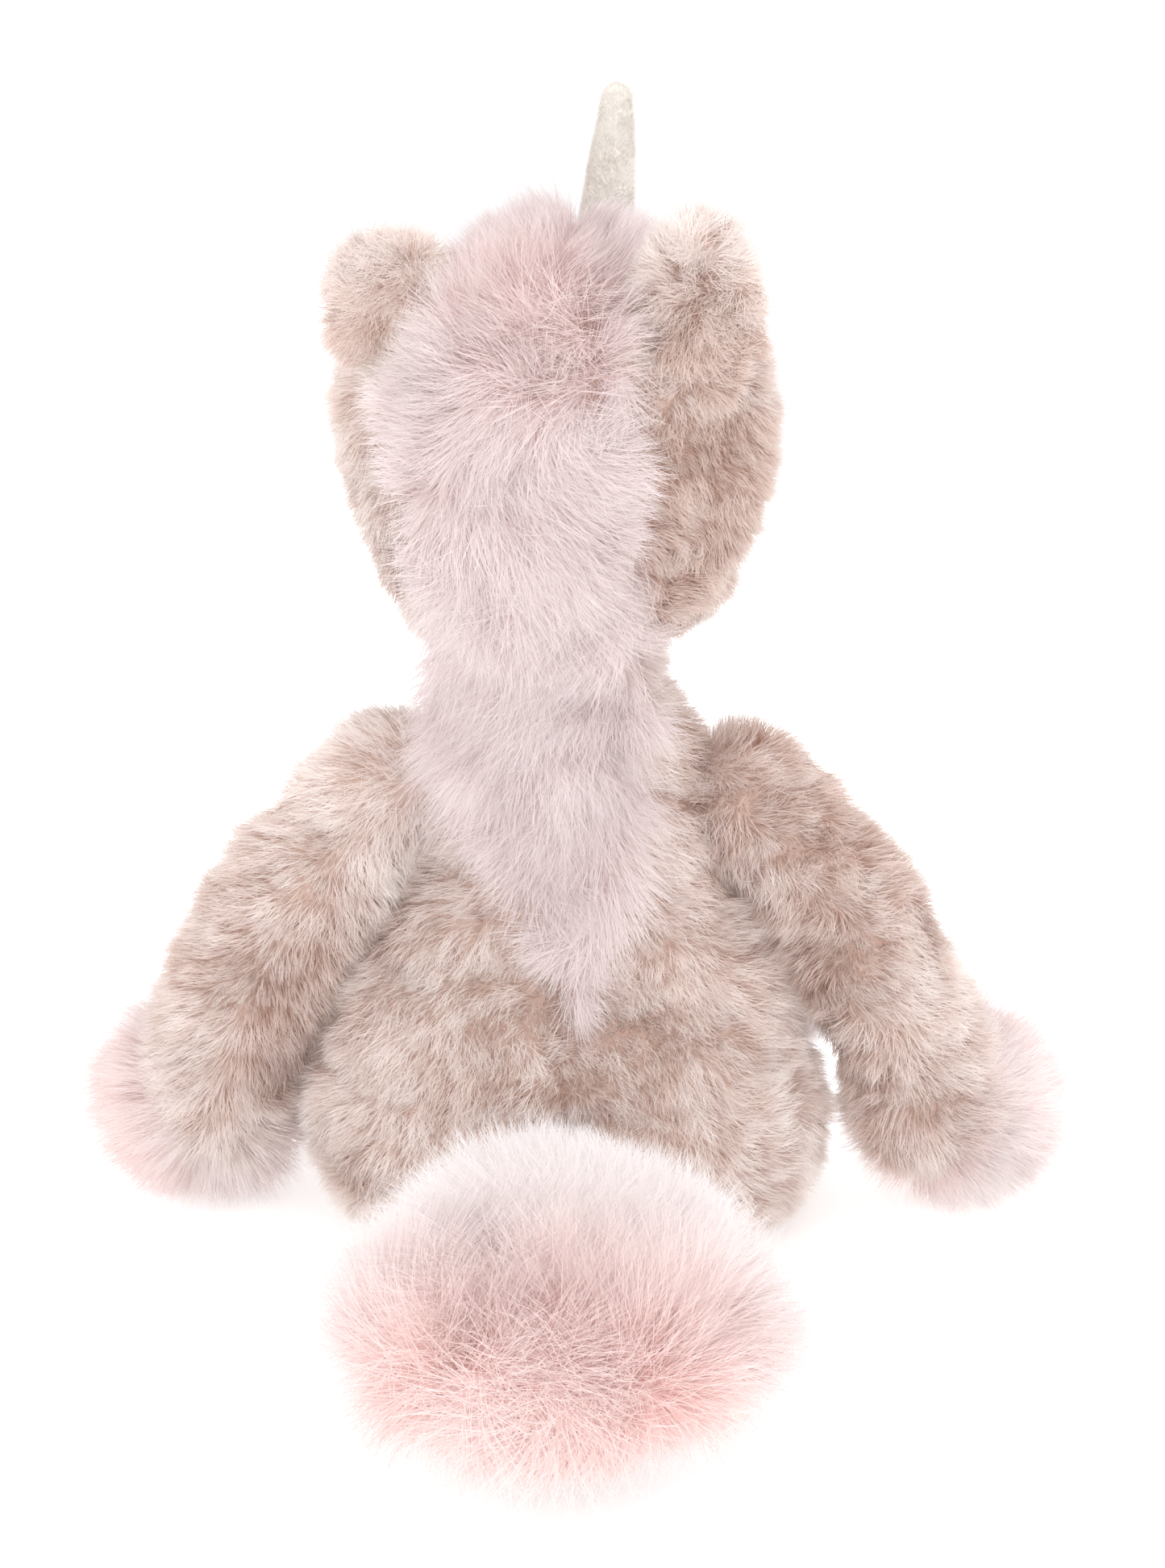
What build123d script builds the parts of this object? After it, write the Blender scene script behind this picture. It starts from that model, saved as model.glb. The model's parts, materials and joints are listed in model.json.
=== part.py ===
from build123d import *
import math
import os

# A stuffed plush unicorn sitting upright, in millimetres. Origin: the middle of the flat seat patch,
# on the ground. +Z is up, the face looks towards -Y, and the toy's own left side is +X.
# Every fur part is drawn to the outside of its pile, so its solid is the backing and the pile together.

# --- Cloth, pile and clearances ---
SHORT_PILE = 8.0  # backing and pile of the beige plush
MANE_PILE = 14.0  # long pile, as it lies on the crown, the neck and the back
SEWN_GAP = 0.2  # between a cover and the filling that it holds
FLEX_GAP = 0.4  # around every ball of filling that a limb bends on
LEG_CLEARANCE = 0.8  # between a leg or an ear and the torso or head that it swings past
ARM_CLEARANCE = 1.1  # between an arm and the torso
GROUND_GAP = 0.5  # how far a resting cuff's flattened pile stays above the seat's plane

# --- Torso: height, half width and half depth of its level ovals ---
TORSO_OVALS = [
    (0, 44, 34),
    (9, 60, 47),
    (22, 69, 54),
    (38, 70.5, 56),
    (54, 66.5, 54),
    (70, 60, 50),
    (86, 52.5, 46),
    (102, 45.5, 42),
    (120, 42, 38),
    (136, 40, 34),
    (148, 35, 30),
    (158, 29, 26),
]
SIDE_SEAM_Y = -6.0
SEAT_SEAM_Z = 8.0
PELLET_BAG_CENTRE = (0, 14, 25)
PELLET_BAG_HALF = (25, 20, 11)

# --- Neck and head ---
NECK = (0, 1, 163)
NECK_BALL = 23.0
HEAD_TURN = -13.5  # degrees about +Z: the face looks a little to the toy's own right
HEAD_CENTRE = (1.5, 0, 0)
HEAD_OVALS = [
    (167, 34, 33),
    (174, 43, 40),
    (186, 50.5, 46),
    (200, 56, 49),
    (216, 59.5, 51),
    (234, 60.5, 51),
    (248, 57, 48),
    (260, 48.5, 41),
    (268, 36, 31),
    (273, 18, 15),
]
MUZZLE_CENTRE = (0, -50, 201)
MUZZLE_HALF = (25, 30, 21)
VELOUR = 3.0  # backing and pile of the short cream velour
EYE_PLACE = (32, -43, 226)
EYE_FACING = (0.47, -0.88, 0.04)
EYE_RADIUS = 6.5
EYE_STEM = (2.2, 14.0)  # radius and length
EYE_WASHER = (8.0, 1.4)  # radius and thickness
EYE_SET_IN = 4.0
WASHER_DEPTH = 5.6  # behind the eye's flat back
NOSTRIL_PLACE = (9, -76.4, 207)
NOSTRIL_HALF = (2.4, 2.0, 3.6)
MOUTH = (9.0, 196.0, 190.5)  # half width, height of its ends and height of its middle
MOUTH_THREAD = 0.9

# --- Ears, horn and manes ---
EAR_ROOT = (40, 20, 254)
EAR_BALL = 11.0
EAR_CENTRE = (44, 24, 263)
EAR_DISC = (18.5, 16.0, 7.0)  # radius, thickness and rounding
EAR_FOLDS = (-24, 0, 24)
EAR_LINING = 3.0
HORN_ROOT = (-5, -24, 262)
HORN_TIP = (-7.5, -27.5, 313)
HORN_RADII = (9.0, 4.6)  # of the ball at its root and of its blunt tip
HORN_STEP = 0.6
HORN_FLARE = (14.0, 14.0)  # angle and depth of the room that it leans in
MANE_FRONT = 8.0
BACK_REACH = 80.0
HEAD_MANE_OUTLINE = [
    (-24, 292), (-24, 245), (-35, 235), (-34, 200), (-30, 174),
    (30, 174), (34, 200), (35, 235), (24, 245), (24, 292),
]
BACK_MANE_OUTLINE = [
    (-23, 150), (30, 150), (26, 130), (22, 110), (5, 88), (-2, 69), (-12, 88), (-20, 110), (-22, 130),
]

# --- Arms: shoulder, middle and wrist of the bent sleeve, and a point that the hoof reaches towards ---
ARM_POINTS = {
    "left": ((48, 3, 126), (78, 3, 87), (97, -10, 37), (113, -38, 25)),
    "right": ((-48, 3, 124), (-82, 4, 84), (-103, -2, 37), (-125, -24, 25)),
}
ARM_SWINGS = (-20, -8, 4, 16, 28, 40, 52, 64, 75)
ARM_LIFTED = 55  # degrees that an arm is raised at most, where it is cleared again over its swing
ARM_RADIUS = 21.5
ARM_BALL = 22.6
SHOULDER_FILL = 13.4
ARM_CUFF = (32.5, 24.0)  # radius over the pile and width
ARM_HOOF = (17.0, 26.0, 11.0)  # radius, length and rounding
CUFF_ROUNDING = 10.0
WRIST_FILL = 9.0

# --- Legs: hip and ankle, the hoof carrying straight on from the ankle ---
LEG_POINTS = {
    "left": ((38, -40, 30), (53, -104, 33)),
    "right": ((-38, -40, 30), (-51, -104, 33)),
}
LEG_LIFTS = (-30, -15, 0, 12, 25, 38)
LEG_SPREADS = (-3, 8, 18)
LEG_RADIUS = 22.0
LEG_BALL = 23.4
HIP_FILL = 14.4
LEG_CUFF = (33.0, 24.0)
LEG_HOOF = (20.0, 24.0, 9.0)
ANKLE_FILL = 12.0
FOOT_PAD = (14.0, 2.0)  # radius and thickness

# --- Tail ---
TAIL_ROOT = (2, 55, 33)
TAIL_BALL = 13.0
TAIL_NECK = (11.0, 50.0)
TAIL_CENTRE = (2, 163, 36)
TAIL_HALF = (58, 70, 36)
TAIL_CORE_HALF = (34, 46, 16)


def ovals(sections, frame, grow=0.0):
    """A smooth stuffed form through level ovals; grow moves its whole outside out, or in if negative."""
    low, high = sections[0][0], sections[-1][0]
    stretch = (high - low + 2 * grow) / (high - low)
    with BuildPart() as form:
        for height, half_width, half_depth in sections:
            level = low - grow + (height - low) * stretch
            with BuildSketch(frame.offset(level)):
                Ellipse(half_width + grow, half_depth + grow)
        loft()
    return form.part


def ellipsoid(centre, halves, frame=Plane.XY, grow=0.0):
    """A ball stretched to three half sizes, grown by the same amount every way."""
    with BuildPart() as stretched:
        Sphere(1)
        scale(by=tuple(half + grow for half in halves))
    return frame.location * Pos(*centre) * stretched.part


def ball(centre, radius):
    """A plain ball, for a filling or for the pocket that it flexes in."""
    with BuildPart() as sphere:
        with Locations(centre):
            Sphere(radius)
    return sphere.part


def bent_tube(points, radius):
    """A round limb along one arc from the shoulder to the wrist."""
    with BuildPart() as tube:
        with BuildLine() as path:
            ThreePointArc(points[0], points[1], points[2])
        with BuildSketch(Plane(path.line @ 0, z_dir=path.line % 0)):
            Circle(radius)
        sweep(path=path.line)
    return tube.part


def straight_tube(start, end, radius):
    """A round limb straight from its root to its end."""
    with BuildPart() as tube:
        with BuildSketch(along(start, end)):
            Circle(radius)
        extrude(amount=(Vector(end) - Vector(start)).length)
    return tube.part


def clear_of(limb, obstacle, pivot, poses):
    """Cuts an obstacle out of a limb in each pose that the limb takes about its pivot."""
    with BuildPart() as cleared:
        add(limb)
        for pose in poses:
            moved = obstacle
            for axis, degrees in pose:
                moved = moved.rotate(Axis(pivot, axis), -degrees)
            add(moved, mode=Mode.SUBTRACT)
    return cleared.part


def along(start, end):
    """The plane at start whose normal points to end."""
    return Plane(origin=start, z_dir=Vector(end) - Vector(start))


os.makedirs("parts", exist_ok=True)
finished = []


def finish(builder, label):
    """Names a finished piece and writes its STEP file."""
    builder.part.label = label
    export_step(builder.part, f"parts/{label}.step")
    finished.append(label)


# --- Shared outlines ---
torso_outside = ovals(TORSO_OVALS, Plane.XY)
torso_inside = ovals(TORSO_OVALS, Plane.XY, -SHORT_PILE)
torso_core = ovals(TORSO_OVALS, Plane.XY, -SHORT_PILE - SEWN_GAP)
turn = math.radians(HEAD_TURN)
head_frame = Plane(origin=HEAD_CENTRE, x_dir=(math.cos(turn), math.sin(turn), 0), z_dir=(0, 0, 1))
head_outside = ovals(HEAD_OVALS, head_frame)
head_inside = ovals(HEAD_OVALS, head_frame, -SHORT_PILE)
head_core = ovals(HEAD_OVALS, head_frame, -SHORT_PILE - SEWN_GAP)

# Pockets in the torso for the balls that the neck, the arms, the legs and the tail bend on.
torso_pockets = [
    ball(NECK, NECK_BALL + FLEX_GAP),
    ball(TAIL_ROOT, TAIL_BALL + FLEX_GAP),
]
for side in ("left", "right"):
    torso_pockets.append(ball(ARM_POINTS[side][0], ARM_BALL + FLEX_GAP))
    torso_pockets.append(ball(LEG_POINTS[side][0], LEG_BALL + FLEX_GAP))

# --- Torso covers: two back panels that meet on the centre seam, a belly panel and a seat panel ---
TORSO_PANELS = {
    "left_back_panel": [
        (Plane.XY.offset(SEAT_SEAM_Z), Keep.TOP),
        (Plane.ZX.offset(SIDE_SEAM_Y), Keep.TOP),
        (Plane.YZ, Keep.TOP),
    ],
    "right_back_panel": [
        (Plane.XY.offset(SEAT_SEAM_Z), Keep.TOP),
        (Plane.ZX.offset(SIDE_SEAM_Y), Keep.TOP),
        (Plane.YZ, Keep.BOTTOM),
    ],
    "belly_panel": [
        (Plane.XY.offset(SEAT_SEAM_Z), Keep.TOP),
        (Plane.ZX.offset(SIDE_SEAM_Y), Keep.BOTTOM),
    ],
    "seat_panel": [(Plane.XY.offset(SEAT_SEAM_Z), Keep.BOTTOM)],
}
for label, cuts in TORSO_PANELS.items():
    with BuildPart() as panel:
        add(torso_outside)
        add(torso_inside, mode=Mode.SUBTRACT)
        for pocket in torso_pockets:
            add(pocket, mode=Mode.SUBTRACT)
        for seam, kept in cuts:
            split(bisect_by=seam, keep=kept)
    finish(panel, label)

# --- Torso filling, with the bag of pellets that weights the seat ---
bag_space = ellipsoid(PELLET_BAG_CENTRE, PELLET_BAG_HALF, grow=SEWN_GAP)
with BuildPart() as torso_stuffing:
    add(torso_core)
    for pocket in torso_pockets:
        add(pocket, mode=Mode.SUBTRACT)
    add(bag_space, mode=Mode.SUBTRACT)
finish(torso_stuffing, "torso_stuffing")

with BuildPart() as pellet_bag:
    add(ellipsoid(PELLET_BAG_CENTRE, PELLET_BAG_HALF))
finish(pellet_bag, "pellet_bag")

with BuildPart() as back_mane:
    with BuildSketch(Plane.XZ):
        with BuildLine():
            Polyline(BACK_MANE_OUTLINE, close=True)
        make_face()
    extrude(amount=-BACK_REACH)
    add(ovals(TORSO_OVALS, Plane.XY, MANE_PILE), mode=Mode.INTERSECT)
    add(torso_outside, mode=Mode.SUBTRACT)
finish(back_mane, "back_mane")

# --- Neck: the ball of filling that the head turns and nods on ---
with BuildPart() as neck_stuffing:
    add(ball(NECK, NECK_BALL))
finish(neck_stuffing, "neck_stuffing")


def in_head(x, y, z):
    """A point given in the turned head's own directions."""
    return head_frame.from_local_coords(Vector(x, y, z))


def eye_plane(side):
    """The plane that touches the face at one eye, its normal looking out."""
    place = in_head(side * EYE_PLACE[0], EYE_PLACE[1], EYE_PLACE[2])
    ahead = in_head(
        side * (EYE_PLACE[0] + EYE_FACING[0]), EYE_PLACE[1] + EYE_FACING[1], EYE_PLACE[2] + EYE_FACING[2]
    )
    return along(place, ahead).offset(-EYE_SET_IN)


def eye_space(side):
    """The room in the face and its filling for one eye, its stem and its washer."""
    seat = eye_plane(side)
    with BuildPart() as space:
        with BuildSketch(seat.offset(-SEWN_GAP)):
            Circle(EYE_RADIUS + SEWN_GAP)
        extrude(amount=2 * EYE_RADIUS)
        with BuildSketch(seat):
            Circle(EYE_STEM[0] + SEWN_GAP)
        extrude(amount=-EYE_STEM[1] - SEWN_GAP)
        with BuildSketch(seat.offset(-WASHER_DEPTH + SEWN_GAP)):
            Circle(EYE_WASHER[0] + SEWN_GAP)
        extrude(amount=-EYE_WASHER[1] - 2 * SEWN_GAP)
    return space.part


horn_line = along(in_head(*HORN_ROOT), in_head(*HORN_TIP))
with BuildPart() as horn_space:
    with Locations(in_head(*HORN_ROOT)):
        Sphere(HORN_RADII[0] + FLEX_GAP)
    with BuildSketch(horn_line):
        Circle(HORN_RADII[0] + FLEX_GAP)
    extrude(amount=HORN_FLARE[1], taper=-HORN_FLARE[0])

head_pockets = [ball(NECK, NECK_BALL + FLEX_GAP), horn_space.part]
for side in (1, -1):
    head_pockets.append(ball(in_head(side * EAR_ROOT[0], EAR_ROOT[1], EAR_ROOT[2]), EAR_BALL + FLEX_GAP))
    head_pockets.append(eye_space(side))

head_wall = ovals(HEAD_OVALS, head_frame, LEG_CLEARANCE)

# --- Head covers: two side panels that meet along the middle, and the filling ---
middle = Plane(origin=HEAD_CENTRE, z_dir=head_frame.x_dir)
for label, kept in (("left_head_panel", Keep.TOP), ("right_head_panel", Keep.BOTTOM)):
    with BuildPart() as panel:
        add(head_outside)
        add(head_inside, mode=Mode.SUBTRACT)
        for pocket in head_pockets:
            add(pocket, mode=Mode.SUBTRACT)
        split(bisect_by=middle, keep=kept)
    finish(panel, label)

with BuildPart() as head_stuffing:
    add(head_core)
    for pocket in head_pockets:
        add(pocket, mode=Mode.SUBTRACT)
finish(head_stuffing, "head_stuffing")

mane_front = Plane(origin=HEAD_CENTRE, x_dir=head_frame.x_dir, z_dir=-head_frame.y_dir).offset(MANE_FRONT)
with BuildPart() as head_mane:
    with BuildSketch(mane_front):
        with BuildLine():
            Polyline(HEAD_MANE_OUTLINE, close=True)
        make_face()
    extrude(amount=-MANE_FRONT - BACK_REACH)
    add(ovals(HEAD_OVALS, head_frame, MANE_PILE), mode=Mode.INTERSECT)
    add(head_outside, mode=Mode.SUBTRACT)
finish(head_mane, "head_mane")

# --- Muzzle, with its embroidered nostrils and mouth ---
muzzle_outside = ellipsoid(MUZZLE_CENTRE, MUZZLE_HALF, head_frame)
with BuildPart() as muzzle_cover:
    add(muzzle_outside)
    add(ellipsoid(MUZZLE_CENTRE, MUZZLE_HALF, head_frame, -VELOUR), mode=Mode.SUBTRACT)
    add(head_outside, mode=Mode.SUBTRACT)
finish(muzzle_cover, "muzzle_cover")

with BuildPart() as muzzle_stuffing:
    add(ellipsoid(MUZZLE_CENTRE, MUZZLE_HALF, head_frame, -VELOUR - SEWN_GAP))
    add(head_outside, mode=Mode.SUBTRACT)
finish(muzzle_stuffing, "muzzle_stuffing")


def on_muzzle(x, z, lift):
    """A point on the muzzle's front, lifted off it towards the front."""
    across = (x - MUZZLE_CENTRE[0]) / MUZZLE_HALF[0]
    up = (z - MUZZLE_CENTRE[2]) / MUZZLE_HALF[2]
    depth = MUZZLE_HALF[1] * math.sqrt(1 - across**2 - up**2)
    return in_head(x, MUZZLE_CENTRE[1] - depth - lift, z)


with BuildPart() as mouth_stitch:
    with BuildLine() as smile:
        ThreePointArc(
            on_muzzle(-MOUTH[0], MOUTH[1], MOUTH_THREAD),
            on_muzzle(0, MOUTH[2], MOUTH_THREAD),
            on_muzzle(MOUTH[0], MOUTH[1], MOUTH_THREAD),
        )
    with BuildSketch(Plane(smile.line @ 0, z_dir=smile.line % 0)):
        Circle(MOUTH_THREAD)
    sweep(path=smile.line)
    add(muzzle_outside, mode=Mode.SUBTRACT)
finish(mouth_stitch, "mouth_stitch")

for side, word in ((1, "left"), (-1, "right")):
    with BuildPart() as nostril:
        add(ellipsoid((side * NOSTRIL_PLACE[0], *NOSTRIL_PLACE[1:]), NOSTRIL_HALF, head_frame))
        add(muzzle_outside, mode=Mode.SUBTRACT)
    finish(nostril, f"{word}_nostril")

    # A safety eye: a dome on a stem that goes through the face, held inside by a washer.
    with BuildPart() as eye:
        with BuildSketch(eye_plane(side)):
            Circle(EYE_STEM[0])
        extrude(amount=-EYE_STEM[1])
        with Locations(eye_plane(side)):
            Sphere(EYE_RADIUS, arc_size1=0, align=(Align.CENTER, Align.CENTER, Align.MIN))
    finish(eye, f"{word}_eye")

    with BuildPart() as washer:
        with BuildSketch(eye_plane(side).offset(-WASHER_DEPTH)):
            Circle(EYE_WASHER[0])
            Circle(EYE_STEM[0], mode=Mode.SUBTRACT)
        extrude(amount=-EYE_WASHER[1])
    finish(washer, f"{word}_eye_washer")

    # An ear: a thick round disc on a ball that folds in the head's pocket, lined in front.
    root = in_head(side * EAR_ROOT[0], EAR_ROOT[1], EAR_ROOT[2])
    middle_of_ear = in_head(side * EAR_CENTRE[0], EAR_CENTRE[1], EAR_CENTRE[2])
    facing = Plane(origin=middle_of_ear, x_dir=head_frame.x_dir, z_dir=head_frame.y_dir)
    with BuildPart() as disc:
        with BuildSketch(facing):
            Circle(EAR_DISC[0])
        extrude(amount=EAR_DISC[1] / 2, both=True)
        fillet(disc.edges().filter_by(GeomType.CIRCLE), EAR_DISC[2])
    folds = [[(head_frame.x_dir, degrees)] for degrees in EAR_FOLDS]
    blade = clear_of(disc.part, head_wall, root, folds)
    lining_seam = facing.offset(EAR_LINING - EAR_DISC[1] / 2)
    with BuildPart() as ear_cover:
        add(blade)
        split(bisect_by=lining_seam, keep=Keep.TOP)
        with Locations(Plane(origin=root, z_dir=head_frame.x_dir)):
            Sphere(EAR_BALL)
    finish(ear_cover, f"{word}_ear_cover")

    with BuildPart() as ear_lining:
        add(blade)
        split(bisect_by=lining_seam, keep=Keep.BOTTOM)
        with Locations(root):
            Sphere(EAR_BALL + SEWN_GAP, mode=Mode.SUBTRACT)
    finish(ear_lining, f"{word}_ear_lining")

# --- Horn ---
horn_length = (in_head(*HORN_TIP) - in_head(*HORN_ROOT)).length
with BuildPart() as horn_cover:
    with BuildSketch(horn_line):
        Circle(HORN_RADII[0] - HORN_STEP)
    with BuildSketch(horn_line.offset(horn_length)):
        Circle(HORN_RADII[1])
    loft()
    fillet(horn_cover.faces().sort_by(Axis.Z)[-1].edges(), HORN_RADII[1] - HORN_STEP)
    with Locations(in_head(*HORN_ROOT)):
        Sphere(HORN_RADII[0])
    with BuildSketch(horn_line):
        Circle(HORN_RADII[0] - HORN_STEP - VELOUR)
    with BuildSketch(horn_line.offset(horn_length - VELOUR)):
        Circle(HORN_RADII[1] - VELOUR)
    loft(mode=Mode.SUBTRACT)
finish(horn_cover, "horn_cover")

with BuildPart() as horn_stuffing:
    with BuildSketch(horn_line.offset(SEWN_GAP)):
        Circle(HORN_RADII[0] - HORN_STEP - VELOUR - SEWN_GAP)
    with BuildSketch(horn_line.offset(horn_length - VELOUR - SEWN_GAP)):
        Circle(HORN_RADII[1] - VELOUR - SEWN_GAP)
    loft()
finish(horn_stuffing, "horn_stuffing")

# --- Arms: a bent sleeve that flexes on a ball of filling, a long-pile cuff and a hoof ---
torso_wall = ovals(TORSO_OVALS, Plane.XY, ARM_CLEARANCE)
ground = Plane.XY.offset(GROUND_GAP)
for word, points in ARM_POINTS.items():
    shoulder, _, wrist, hand = points
    out = Vector(0, -1, 0) if word == "left" else Vector(0, 1, 0)
    forward = Vector(-1, 0, 0)
    swings = [[(out, raised), (forward, degrees)] for raised in (0, ARM_LIFTED) for degrees in ARM_SWINGS]
    tube = clear_of(bent_tube(points, ARM_RADIUS), torso_wall, shoulder, swings)
    with BuildPart() as sleeve:
        add(tube)
        with Locations(shoulder):
            Sphere(ARM_BALL)
            Sphere(SHOULDER_FILL + FLEX_GAP, mode=Mode.SUBTRACT)
        add(bent_tube(points, ARM_RADIUS - SHORT_PILE), mode=Mode.SUBTRACT)
    finish(sleeve, f"{word}_arm_sleeve")

    with BuildPart() as shoulder_stuffing:
        add(ball(shoulder, SHOULDER_FILL))
    finish(shoulder_stuffing, f"{word}_shoulder_stuffing")

    with BuildPart() as arm_stuffing:
        add(bent_tube(points, ARM_RADIUS - SHORT_PILE - SEWN_GAP))
        with Locations(shoulder):
            Sphere(SHOULDER_FILL + FLEX_GAP, mode=Mode.SUBTRACT)
    finish(arm_stuffing, f"{word}_arm_stuffing")

    sleeve_room = bent_tube(points, ARM_RADIUS + SEWN_GAP)
    wrist_plane = along(wrist, hand)
    with BuildPart() as cuff:
        with BuildSketch(wrist_plane):
            Circle(ARM_CUFF[0])
        extrude(amount=ARM_CUFF[1])
        fillet(cuff.edges(), CUFF_ROUNDING)
        with BuildSketch(wrist_plane):
            Circle(WRIST_FILL + SEWN_GAP)
        extrude(amount=ARM_CUFF[1], mode=Mode.SUBTRACT)
        add(sleeve_room, mode=Mode.SUBTRACT)
        split(bisect_by=ground, keep=Keep.TOP)
    finish(cuff, f"{word}_arm_cuff")

    with BuildPart() as hoof:
        with BuildSketch(wrist_plane.offset(ARM_CUFF[1] + SEWN_GAP)):
            Circle(ARM_HOOF[0])
        extrude(amount=ARM_HOOF[1])
        fillet(hoof.faces().sort_by(Axis(wrist, wrist_plane.z_dir))[-1].edges(), ARM_HOOF[2])
        with BuildSketch(wrist_plane):
            Circle(WRIST_FILL + SEWN_GAP)
        extrude(amount=ARM_CUFF[1] + ARM_HOOF[1] - SHORT_PILE, mode=Mode.SUBTRACT)
    finish(hoof, f"{word}_arm_hoof")

    with BuildPart() as hoof_stuffing:
        with BuildSketch(wrist_plane):
            Circle(WRIST_FILL)
        extrude(amount=ARM_CUFF[1] + ARM_HOOF[1] - SHORT_PILE - SEWN_GAP)
        add(sleeve_room, mode=Mode.SUBTRACT)
    finish(hoof_stuffing, f"{word}_arm_hoof_stuffing")

# --- Legs: a straight sleeve on a ball of filling, a long-pile cuff, a hoof and its sole pad ---
seat_wall = ovals(TORSO_OVALS, Plane.XY, LEG_CLEARANCE)
for word, (hip, ankle) in LEG_POINTS.items():
    out = Vector(0, 0, 1) if word == "left" else Vector(0, 0, -1)
    poses = [[(out, spread), (Vector(-1, 0, 0), lift)] for spread in LEG_SPREADS for lift in LEG_LIFTS]
    ankle_plane = Plane(origin=ankle, z_dir=Vector(ankle) - Vector(hip))
    thigh = clear_of(straight_tube(hip, ankle, LEG_RADIUS), seat_wall, hip, poses)
    with BuildPart() as leg_sleeve:
        add(thigh)
        with Locations(hip):
            Sphere(LEG_BALL)
            Sphere(HIP_FILL + FLEX_GAP, mode=Mode.SUBTRACT)
        add(straight_tube(hip, ankle, LEG_RADIUS - SHORT_PILE), mode=Mode.SUBTRACT)
    finish(leg_sleeve, f"{word}_leg_sleeve")

    with BuildPart() as hip_stuffing:
        add(ball(hip, HIP_FILL))
    finish(hip_stuffing, f"{word}_hip_stuffing")

    with BuildPart() as leg_stuffing:
        add(straight_tube(hip, ankle, LEG_RADIUS - SHORT_PILE - SEWN_GAP))
        with Locations(hip):
            Sphere(HIP_FILL + FLEX_GAP, mode=Mode.SUBTRACT)
    finish(leg_stuffing, f"{word}_leg_stuffing")

    with BuildPart() as leg_cuff:
        with BuildSketch(ankle_plane.offset(SEWN_GAP)):
            Circle(LEG_CUFF[0])
        extrude(amount=LEG_CUFF[1])
        fillet(leg_cuff.edges(), CUFF_ROUNDING)
        with BuildSketch(ankle_plane):
            Circle(ANKLE_FILL + SEWN_GAP)
        extrude(amount=2 * LEG_CUFF[1], mode=Mode.SUBTRACT)
        split(bisect_by=ground, keep=Keep.TOP)
    finish(leg_cuff, f"{word}_leg_cuff")

    with BuildPart() as leg_hoof:
        with BuildSketch(ankle_plane.offset(LEG_CUFF[1] + 2 * SEWN_GAP)):
            Circle(LEG_HOOF[0])
        extrude(amount=LEG_HOOF[1])
        fillet(leg_hoof.faces().sort_by(Axis(ankle, ankle_plane.z_dir))[-1].edges(), LEG_HOOF[2])
        with BuildSketch(ankle_plane):
            Circle(ANKLE_FILL + SEWN_GAP)
        extrude(amount=LEG_CUFF[1] + LEG_HOOF[1] - SHORT_PILE, mode=Mode.SUBTRACT)
    finish(leg_hoof, f"{word}_leg_hoof")

    with BuildPart() as leg_hoof_stuffing:
        with BuildSketch(ankle_plane.offset(SEWN_GAP)):
            Circle(ANKLE_FILL)
        extrude(amount=LEG_CUFF[1] + LEG_HOOF[1] - SHORT_PILE - 2 * SEWN_GAP)
    finish(leg_hoof_stuffing, f"{word}_leg_hoof_stuffing")

    with BuildPart() as foot_pad:
        with BuildSketch(ankle_plane.offset(LEG_CUFF[1] + LEG_HOOF[1] + 3 * SEWN_GAP)):
            Circle(FOOT_PAD[0])
        extrude(amount=FOOT_PAD[1])
        fillet(foot_pad.faces().sort_by(Axis(ankle, ankle_plane.z_dir))[-1].edges(), FOOT_PAD[1] / 2)
    finish(foot_pad, f"{word}_foot_pad")

# --- Tail: a long-pile cover round a flat core, on a ball of filling ---
with BuildPart() as tail_root_stuffing:
    add(ball(TAIL_ROOT, TAIL_BALL))
finish(tail_root_stuffing, "tail_root_stuffing")

with BuildPart() as tail_cover:
    add(ellipsoid(TAIL_CENTRE, TAIL_HALF))
    with BuildSketch(along(TAIL_ROOT, TAIL_CENTRE)):
        Circle(TAIL_NECK[0])
    extrude(amount=TAIL_NECK[1])
    add(ellipsoid(TAIL_CENTRE, TAIL_CORE_HALF, grow=SEWN_GAP), mode=Mode.SUBTRACT)
    with Locations(TAIL_ROOT):
        Sphere(TAIL_BALL + FLEX_GAP, mode=Mode.SUBTRACT)
    split(bisect_by=ground, keep=Keep.TOP)
finish(tail_cover, "tail_cover")

with BuildPart() as tail_stuffing:
    add(ellipsoid(TAIL_CENTRE, TAIL_CORE_HALF))
finish(tail_stuffing, "tail_stuffing")
print(len(finished), "pieces written")
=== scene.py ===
import json
import math

import bpy
import numpy as np
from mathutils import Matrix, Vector


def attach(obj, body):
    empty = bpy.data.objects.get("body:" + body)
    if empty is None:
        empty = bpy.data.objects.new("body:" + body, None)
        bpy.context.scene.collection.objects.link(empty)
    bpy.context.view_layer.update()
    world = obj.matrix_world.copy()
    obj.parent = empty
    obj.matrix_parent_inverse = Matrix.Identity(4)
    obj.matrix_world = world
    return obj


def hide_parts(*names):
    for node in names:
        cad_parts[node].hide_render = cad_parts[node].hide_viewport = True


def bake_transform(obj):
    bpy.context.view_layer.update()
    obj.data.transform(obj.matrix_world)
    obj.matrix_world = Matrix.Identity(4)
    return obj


# A plush unicorn, seen from behind. Lengths are in millimetres until a mesh is made, and in metres after.
# Each cover is a stuffed skin of backing cloth, with its pile on it as separate tapering fibres of real mesh.

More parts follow.
